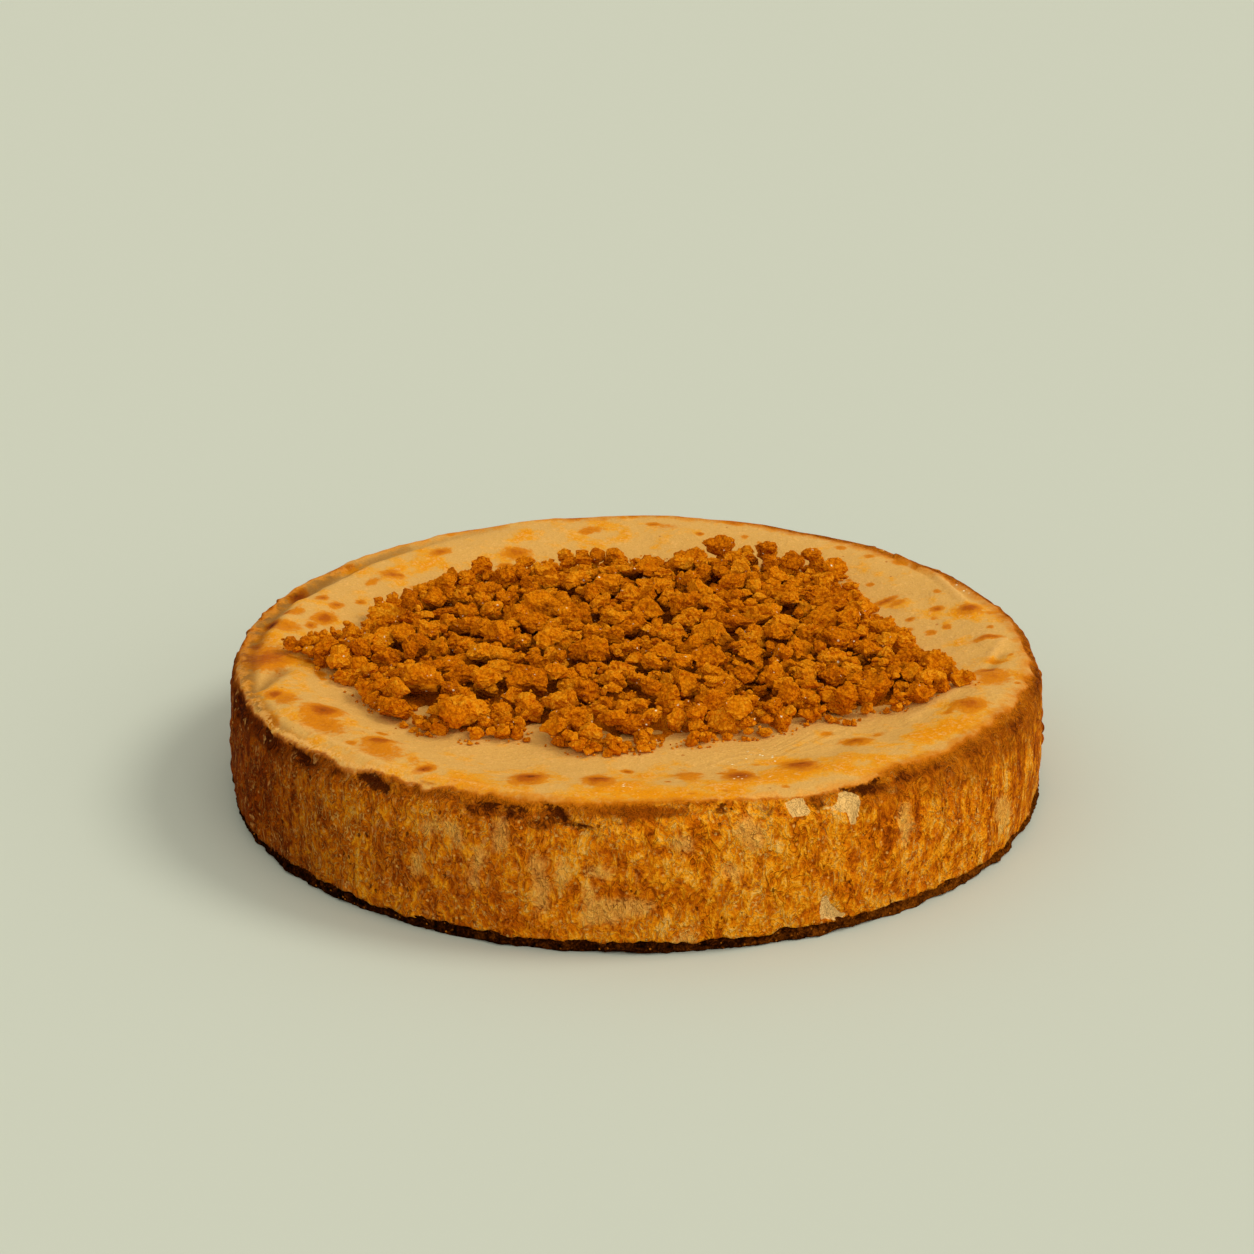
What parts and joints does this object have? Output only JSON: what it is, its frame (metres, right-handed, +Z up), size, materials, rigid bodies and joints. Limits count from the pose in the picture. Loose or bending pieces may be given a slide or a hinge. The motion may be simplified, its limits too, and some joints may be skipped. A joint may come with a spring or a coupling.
{
  "type": "baked cheesecake",
  "caption": "Whole round baked cheesecake with a browned skin, a thin biscuit base and a heap of biscuit crumbs on top.",
  "frame": {"origin": "middle of the flat underside, on the surface the cake stands on", "axes": "+Z up through the thickness, -Y towards the side that the picture shows in front"},
  "size_m": [0.2405, 0.2404, 0.0511],
  "materials": {
    "biscuit": "dark baked biscuit, pressed and crumbly",
    "baked_skin": "baked cheese filling with a soft sheen on top and a browned, fibrous wall",
    "crumb": "dry, grainy caramel-brown biscuit crumb"
  },
  "bodies": {
    "root": {"biscuit_base": "biscuit", "baked_filling": "baked_skin", "crumb_heap": "crumb"}
  },
  "joints": []
}
